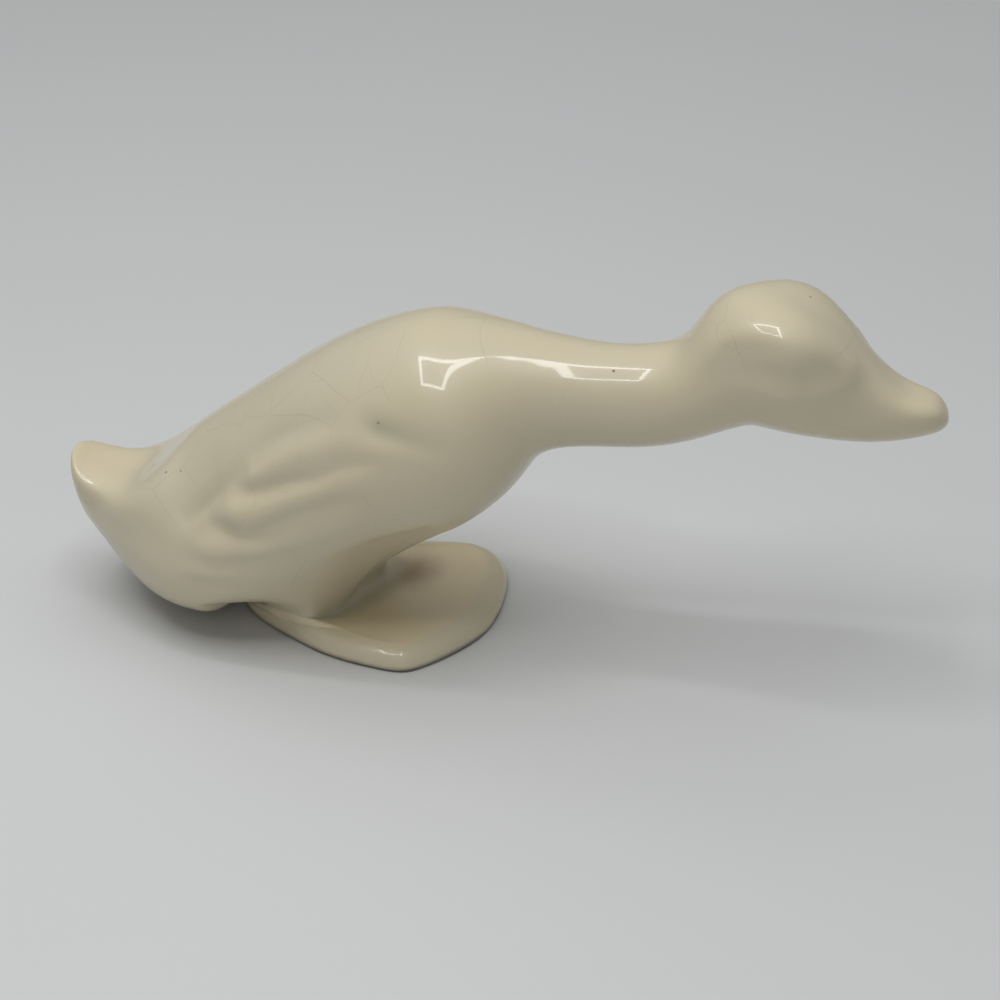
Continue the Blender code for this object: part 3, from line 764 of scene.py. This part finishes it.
def crackle_glaze(look):
    """Cream glaze: warm on the crests, grey-green where it pooled, painted lighter in the foot's dish as
    painted light, crazed and a little dirty.
    """
    material, tree, shader = new_material("crackle_glaze")
    place = tree.make("ShaderNodeTexCoord")["Object"]
    height = tree.make("ShaderNodeSeparateXYZ", None, {"Vector": place})["Z"]
    pooled, crest, dish = (tree.make("ShaderNodeAttribute", {"attribute_name": name})["Fac"]
                           for name in ("pooling", "crest", "dish"))

    cloud = tree.noise(place, CLOUD)
    fine_cloud = tree.noise(place, FINE_CLOUD, 3.0)
    colour = tree.blend(cloud.clipped(0.35, 0.7), tuple(look.cream), tuple(look.pale_cream))
    colour = tree.blend(crest * 0.7, colour, tuple(look.crest))
    colour = tree.blend(tree.near(place, TAIL_BLUSH, TAIL_BLUSH_REACH) * 0.6, colour, tuple(look.blush))
    colour = tree.blend(pooled * (0.55 + 0.35 * fine_cloud), colour, tuple(look.pooled))
    # Painted light: the dish floor, shaded by the breast, is given a lighter, yellower colour than the
    # cream.
    colour = tree.blend(dish * 0.8, colour, tuple(look.dish))

    flat_place = tree.moved(place, (0, 0, 0), CRACKLE_STRETCH)
    lines = tree.wandering(flat_place, *CRACK_WANDER)
    long_cracks = tree.cracks(lines, look.crack_spacing, CRACK_WIDTH)
    long_cracks = long_cracks * tree.noise(place, CRACK_CLOUD).clipped(0.42, 0.65)
    side_lines = tree.wandering(tree.moved(flat_place, SIDE_CRACK_OFFSET), *SIDE_CRACK_WANDER)
    short_cracks = tree.cracks(side_lines, look.crack_spacing * SIDE_CRACK_SHARE, SIDE_CRACK_WIDTH)
    short_cracks = short_cracks * tree.noise(side_lines, SIDE_CRACK_CLOUD).clipped(0.52, 0.68)
    cracks = (long_cracks * 0.18 + short_cracks * 0.13) * look.crack_strength
    colour = tree.blend(cracks, colour, tuple(look.crack))

    pinholes = tree.dots(place, SPECK_CELL, SPECK_RADIUS, SPECK_SHARE)
    for spot in PINHOLES:
        pinholes = pinholes + tree.near(place, tuple(value * MM for value in spot), (PINHOLE_RADIUS,) * 3)
    colour = tree.blend(pinholes * 0.75, colour, tuple(look.pinhole))

    stain = tree.near(tree.wandering(place, *STAIN_WANDER), STAIN, STAIN_REACH) * look.stain_strength
    colour = tree.blend(stain, colour, tuple(look.stain))
    heel_pool = tree.near(place, HEEL_POOL, HEEL_POOL_REACH)
    colour = tree.blend(heel_pool * 0.5, colour, tuple(look.pooled))
    dirt = (height + fine_cloud * DIRT_WANDER).clipped(*DIRT_EDGE)
    colour = tree.blend(dirt * 0.8, colour, tuple(look.dirt))

    relief = tree.noise(place, PITTING) * 0.04 + tree.noise(place, RIPPLE) * 0.12 - pinholes * 0.5
    bump = tree.make("ShaderNodeBump", None, {
        "Height": relief, "Strength": 0.35, "Distance": RELIEF_DEPTH})["Normal"]
    tree.feed(shader, {
        "Base Color": colour,
        "Roughness": 0.29 + 0.08 * fine_cloud + 0.4 * dirt,
        "IOR": look.ior,
        "Coat Weight": 0.6 - 0.5 * dirt,
        "Coat Roughness": 0.05,
        "Normal": bump,
    })
    return material


def bare_clay(look):
    """Unglazed buff earthenware: the wiped sole, the pour hole and the wall inside."""
    material, tree, shader = new_material("bare_clay")
    place = tree.make("ShaderNodeTexCoord")["Object"]
    cloud = tree.noise(place, CLAY_CLOUD, 4.0)
    grain = tree.noise(place, CLAY_GRAIN, 3.0)
    colour = tree.blend(cloud.clipped(0.35, 0.7), tuple(look.clay), tuple(look.dirty_clay))
    specks = tree.dots(place, CLAY_SPECK_CELL, CLAY_SPECK_RADIUS, 0.3)
    colour = tree.blend(specks * 0.5, colour, tuple(look.dirt))
    bump = tree.make("ShaderNodeBump", None, {
        "Height": grain, "Strength": 0.4, "Distance": CLAY_RELIEF_DEPTH})["Normal"]
    tree.feed(shader, {"Base Color": colour, "Roughness": 0.7 + 0.2 * grain, "Normal": bump})
    return material


def table_top(look):
    """The plain pale table, with the faintest mottling, that passes into the backdrop far off."""
    material, tree, shader = new_material("table_top")
    place = tree.make("ShaderNodeTexCoord")["Object"]
    cloud = tree.noise(place, TABLE_CLOUD, 3.0)
    dust = tree.dots(place, DUST_CELL, DUST_RADIUS, 0.3)
    colour = tree.blend(cloud, tuple(look.table), tuple(value * TABLE_MOTTLING for value in look.table))
    colour = tree.blend(dust * 0.2, colour, tuple(look.dust))
    tree.feed(shader, {"Base Color": colour, "Roughness": 0.6})
    away = tree.make("ShaderNodeVectorMath", {"operation": "LENGTH"}, {0: place})["Value"]
    seen = tree.make("ShaderNodeLightPath")["Is Camera Ray"]
    backdrop = tree.make("ShaderNodeEmission", None, {"Color": tuple(look.backdrop)})["Emission"]
    near_and_far = tree.make("ShaderNodeMixShader", None, {
        0: away.clipped(look.fade_start, look.fade_end) * seen,
        1: Outputs(tree, shader)["BSDF"],
        2: backdrop,
    })["Shader"]
    tree.feed(tree.nodes["Material Output"], {"Surface": near_and_far})
    return material


def swell_tree():
    """Geometry nodes that lay the glaze's slight swell over a skin and give it its material."""
    tree = bpy.data.node_groups.new("glaze_swell", "GeometryNodeTree")
    for name, kind in (("Skin", "NodeSocketGeometry"), ("Swell", "NodeSocketFloat"),
                       ("Swell Size", "NodeSocketFloat"), ("Glaze", "NodeSocketMaterial")):
        tree.interface.new_socket(name, in_out="INPUT", socket_type=kind)
    tree.interface.new_socket("Glazed Skin", in_out="OUTPUT", socket_type="NodeSocketGeometry")
    work = Tree(tree)
    given = work.make("NodeGroupInput")
    place = work.make("GeometryNodeInputPosition")["Position"]
    cloud = work.make("ShaderNodeTexNoise", {"noise_dimensions": "4D"}, {
        "Vector": place, "W": SWELL_SEED, "Scale": 1 / given["Swell Size"], "Detail": 1.0})["Fac"]
    normal = work.make("GeometryNodeInputNormal")["Normal"]
    push = work.make("ShaderNodeVectorMath", {"operation": "SCALE"}, {
        0: normal, "Scale": (cloud - 0.5) * given["Swell"]})[0]
    moved = work.make("GeometryNodeSetPosition", None, {
        "Geometry": given["Skin"], "Offset": push})["Geometry"]
    whole = work.make("GeometryNodeRealizeInstances", None, {"Geometry": moved})["Geometry"]
    glazed = work.make("GeometryNodeSetMaterial", None, {
        "Geometry": whole, "Material": given["Glaze"]})["Geometry"]
    work.make("NodeGroupOutput", None, {"Glazed Skin": glazed})
    return tree


def lay_glaze(skin, glaze, swell, swell_size):
    """Run the swell tree on a skin and keep the result as its mesh."""
    tree = swell_tree()
    modifier = skin.modifiers.new("glaze_swell", "NODES")
    modifier.node_group = tree
    given = {"Swell": swell, "Swell Size": swell_size, "Glaze": glaze}
    for item in tree.interface.items_tree:
        if item.in_out == "INPUT" and item.name in given:
            modifier[item.identifier] = given[item.name]
    settle(skin)


def hollow_out(duck, middle, clay):
    """Take the space inside and the pour hole out of the duck, and leave bare clay there."""
    cavity_points, cavity_faces = cavity_mesh()
    cavity = mesh_object("cavity", cavity_points - middle, cavity_faces)
    floor = HIP.z - HIP.half_height + WALL
    place = (np.array([POUR_HOLE_X, 0, 0]) - middle) * MM
    bpy.ops.mesh.primitive_cylinder_add(vertices=HOLE_SIDES, radius=POUR_HOLE_DIAMETER / 2 * MM,
                                        depth=2 * (floor + POUR_HOLE_DIAMETER / 2) * MM, location=place)
    rod = bpy.context.object
    for cutter in (cavity, rod):
        cutter.data.materials.append(clay)
        modifier = duck.modifiers.new(cutter.name, "BOOLEAN")
        modifier.operation = "DIFFERENCE"
        modifier.solver = "EXACT"
        modifier.material_mode = "TRANSFER"
        modifier.object = cutter
    settle(duck)
    discard(cavity)
    discard(rod)


def fit_to_box(mesh, low, high):
    """Bring a mesh's own box to the casting's, which its facets leave a hair smaller."""
    places = np.empty(len(mesh.vertices) * 3)
    mesh.vertices.foreach_get("co", places)
    places = places.reshape(-1, 3)
    own_low, own_high = places.min(axis=0), places.max(axis=0)
    places = low + (places - own_low) / (own_high - own_low) * (high - low)
    mesh.vertices.foreach_set("co", places.ravel())
    mesh.update()


def bare_sole(duck, clay):
    """Give the flat sole the bare clay."""
    if clay.name not in duck.data.materials:
        duck.data.materials.append(clay)
    index = duck.data.materials.find(clay.name)
    for face in duck.data.polygons:
        if face.normal.z < SOLE_NORMAL and face.center.z < SOLE_HEIGHT:
            face.material_index = index


def number_property(name, description, default, **limits):
    """A number that a user can change."""
    return bpy.props.FloatProperty(name=name, description=description, default=default, **limits)


def colour_property(name, description, default):
    """A colour that a user can change."""
    return bpy.props.FloatVectorProperty(name=name, description=description, default=default,
                                         subtype="COLOR", size=4, min=0, max=1)


def length_property(name, description, default):
    """A length that a user can change."""
    return number_property(name, description, default, subtype="DISTANCE", unit="LENGTH", min=0)


def hang_lamp(scene, name, place, aim, size, power, reflected=True):
    """A rectangular lamp at a place, turned toward its aim, that the glaze may mirror or not."""
    data = bpy.data.lights.new(name, "AREA")
    data.shape = "RECTANGLE"
    data.size, data.size_y = size
    data.energy = power
    lamp = bpy.data.objects.new(name, data)
    lamp.location = place
    lamp.rotation_euler = (Vector(place) - Vector(aim)).to_track_quat("Z", "Y").to_euler()
    lamp.visible_glossy = reflected
    scene.collection.objects.link(lamp)


class DuckLook(bpy.types.PropertyGroup):
    """The duck's glaze and clay."""

    cream: colour_property("Cream", "Glaze over most of the duck", (0.60, 0.53, 0.37, 1))
    pale_cream: colour_property("Pale cream", "Slightly thicker glaze", (0.58, 0.525, 0.385, 1))
    crest: colour_property("Crests", "Thin glaze on raised feathers", (0.64, 0.56, 0.39, 1))
    blush: colour_property("Blush", "Warm glaze on the tail", (0.66, 0.56, 0.38, 1))
    pooled: colour_property("Pooled", "Thick grey-green glaze in grooves", (0.42, 0.41, 0.29, 1))
    # The dish's colour is partly the dish's yellower glaze and partly painted light: lighter than the cream
    # so that the shaded dish looks lit.
    dish: colour_property("Dish", "Glaze in the foot's dish", (0.75, 0.64, 0.43, 1))
    crack: colour_property("Cracks", "Dirt in the crackle", (0.22, 0.18, 0.12, 1))
    pinhole: colour_property("Pinholes", "Burnt specks in the glaze", (0.06, 0.045, 0.03, 1))
    stain: colour_property("Stain", "Brown stain under the breast", (0.22, 0.135, 0.05, 1))
    dirt: colour_property("Dirt", "Grime round the foot's lower edge", (0.10, 0.075, 0.045, 1))
    clay: colour_property("Clay", "Bare clay", (0.62, 0.54, 0.42, 1))
    dirty_clay: colour_property("Dirty clay", "Bare clay where it is soiled", (0.42, 0.35, 0.26, 1))
    ior: number_property("IOR", "How strongly the glaze reflects", 1.5, min=1)
    crack_spacing: length_property("Crack spacing", "Size of the crackle's cells", 0.016)
    crack_strength: number_property("Crack strength", "How dark the crackle is", 1.0, min=0, max=2)
    stain_strength: number_property("Stain strength", "How dark the stain is", 0.75,
                                    min=0, max=1, subtype="FACTOR")
    swell: length_property("Swell", "How far the glaze's thickness varies", 0.0003)
    swell_size: length_property("Swell size", "How wide each swell is", 0.011)


class StageLook(bpy.types.PropertyGroup):
    """The table, the light and the camera."""

    table: colour_property("Table", "The table's colour", (0.60, 0.605, 0.605, 1))
    dust: colour_property("Dust", "Specks of dust on the table", (0.25, 0.25, 0.25, 1))
    table_radius: length_property("Table radius", "How far the table reaches", 3.0)
    fade_start: length_property("Fade start", "Where the table starts to pass into the backdrop", 0.40)
    fade_end: length_property("Fade end", "Where the camera sees only the backdrop", 0.52)
    ring_power: number_property("Ring power", "Power of the ring of lamps in watts", 0.58, min=0)
    panel_power: number_property("Panel power", "Power of the wide soft panel in watts", 6.0, min=0)
    low_power: number_property("Low power", "Power of the low panel in watts", 0.34, min=0)
    sky: colour_property("Sky", "Soft light from all round", (0.95, 0.98, 1.0, 1))
    sky_strength: number_property("Sky strength", "How bright the soft light is", 0.2, min=0)
    backdrop: colour_property("Backdrop", "What the camera sees beyond the table", (0.50, 0.505, 0.505, 1))
    azimuth: number_property("Azimuth", "How far the camera stands round toward the bill",
                             math.radians(13), subtype="ANGLE")
    elevation: number_property("Elevation", "How high the camera looks down from",
                               math.radians(30), subtype="ANGLE")
    distance: length_property("Distance", "From the camera to the place it looks at", 0.4)


class FIGURINE_OT_duck(bpy.types.Operator):
    """Build the glazed duck over its casting"""

    bl_idname = "figurine.duck"
    bl_label = "Build Duck"

    def execute(self, context):
        look = context.scene.duck_look
        glaze, clay = crackle_glaze(look), bare_clay(look)
        points, faces, modelling, row_of = skin_mesh()
        middle = (points.min(axis=0) + points.max(axis=0)) / 2 * np.array([1, 1, 0])
        duck = mesh_object("duck", points - middle, faces, glaze_values(points, modelling, row_of))
        lay_glaze(duck, glaze, look.swell, look.swell_size)
        hollow_out(duck, middle, clay)
        low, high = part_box(CASTING)
        fit_to_box(duck.data, np.array(low), np.array(high))
        bare_sole(duck, clay)
        duck.data.shade_smooth()
        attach(duck, BODY)
        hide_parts(CASTING)
        return {"FINISHED"}


class FIGURINE_OT_stage(bpy.types.Operator):
    """Set up the table, the light and the camera"""

    bl_idname = "figurine.stage"
    bl_label = "Set Stage"

    def execute(self, context):
        look = context.scene.stage_look
        scene = context.scene
        bpy.ops.mesh.primitive_circle_add(vertices=TABLE_SIDES, radius=look.table_radius, fill_type="NGON")
        table = context.object
        table.name = "table"
        table.data.materials.append(table_top(look))
        self.hang_ring(scene, look)
        for name, place, size, power in (
                ("soft_panel", PANEL_PLACE, PANEL_SIZE, look.panel_power),
                ("low_panel", LOW_PANEL_PLACE, LOW_PANEL_SIZE, look.low_power)):
            hang_lamp(scene, name, place, AIM, (size, size), power, reflected=False)
        self.light_sky(scene, look)
        self.place_camera(scene, look)
        scene.view_settings.view_transform = "Standard"
        return {"FINISHED"}

    def hang_ring(self, scene, look):
        """Four strips of lamps in a rectangle over the table."""
        left, right, front, back = RING_EDGES
        middle_x, middle_y = (left + right) / 2, (front + back) / 2
        strips = (
            (middle_x, front, right - left + RING_WIDTH, RING_WIDTH),
            (middle_x, back, right - left + RING_WIDTH, RING_WIDTH),
            (left, middle_y, RING_WIDTH, back - front - RING_WIDTH),
            (right, middle_y, RING_WIDTH, back - front - RING_WIDTH),
        )
        area = sum(strip[2] * strip[3] for strip in strips)
        for x, y, wide, deep in strips:
            hang_lamp(scene, "ring_lamp", (x, y, RING_HEIGHT), (x, y, 0), (wide, deep),
                      look.ring_power * wide * deep / area)

    def light_sky(self, scene, look):
        """Even soft light, and a pale backdrop that only the camera sees."""
        world = bpy.data.worlds.new("soft_sky")
        world.use_nodes = True
        scene.world = world
        tree = Tree(world.node_tree)
        seen = tree.make("ShaderNodeLightPath")["Is Camera Ray"]
        tree.feed(tree.nodes["Background"], {
            "Color": tree.blend(seen, tuple(look.sky), tuple(look.backdrop)),
            "Strength": look.sky_strength + (1 - look.sky_strength) * seen,
        })

    def place_camera(self, scene, look):
        """The camera stands off from its aim, up and round toward the bill."""
        data = bpy.data.cameras.new("camera")
        data.lens = LENS
        camera = bpy.data.objects.new("camera", data)
        scene.collection.objects.link(camera)
        back = Vector((math.sin(look.azimuth) * math.cos(look.elevation),
                       -math.cos(look.azimuth) * math.cos(look.elevation), math.sin(look.elevation)))
        camera.location = Vector(AIM) + back * look.distance
        camera.rotation_euler = back.to_track_quat("Z", "Y").to_euler()
        scene.camera = camera


class FIGURINE_PT_panel(bpy.types.Panel):
    """Buttons and settings for the duck"""

    bl_label = "Crackle Glaze Duck"
    bl_idname = "FIGURINE_PT_panel"
    bl_space_type = "VIEW_3D"
    bl_region_type = "UI"
    bl_category = "Duck"

    def draw(self, context):
        for operator, look in ((FIGURINE_OT_duck, context.scene.duck_look),
                               (FIGURINE_OT_stage, context.scene.stage_look)):
            box = self.layout.box()
            box.operator(operator.bl_idname)
            for name in look.bl_rna.properties.keys():
                if name not in ("rna_type", "name"):
                    box.prop(look, name)


CLASSES = (DuckLook, StageLook, FIGURINE_OT_duck, FIGURINE_OT_stage, FIGURINE_PT_panel)


def register():
    """Make the classes and the scene's settings known to Blender."""
    for made in CLASSES:
        bpy.utils.register_class(made)
    bpy.types.Scene.duck_look = bpy.props.PointerProperty(type=DuckLook)
    bpy.types.Scene.stage_look = bpy.props.PointerProperty(type=StageLook)


def unregister():
    """Take them out again."""
    del bpy.types.Scene.stage_look
    del bpy.types.Scene.duck_look
    for made in reversed(CLASSES):
        bpy.utils.unregister_class(made)


def main():
    """Build everything in order."""
    register()
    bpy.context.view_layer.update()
    bpy.ops.figurine.duck()
    bpy.ops.figurine.stage()


if __name__ == "__main__":
    main()
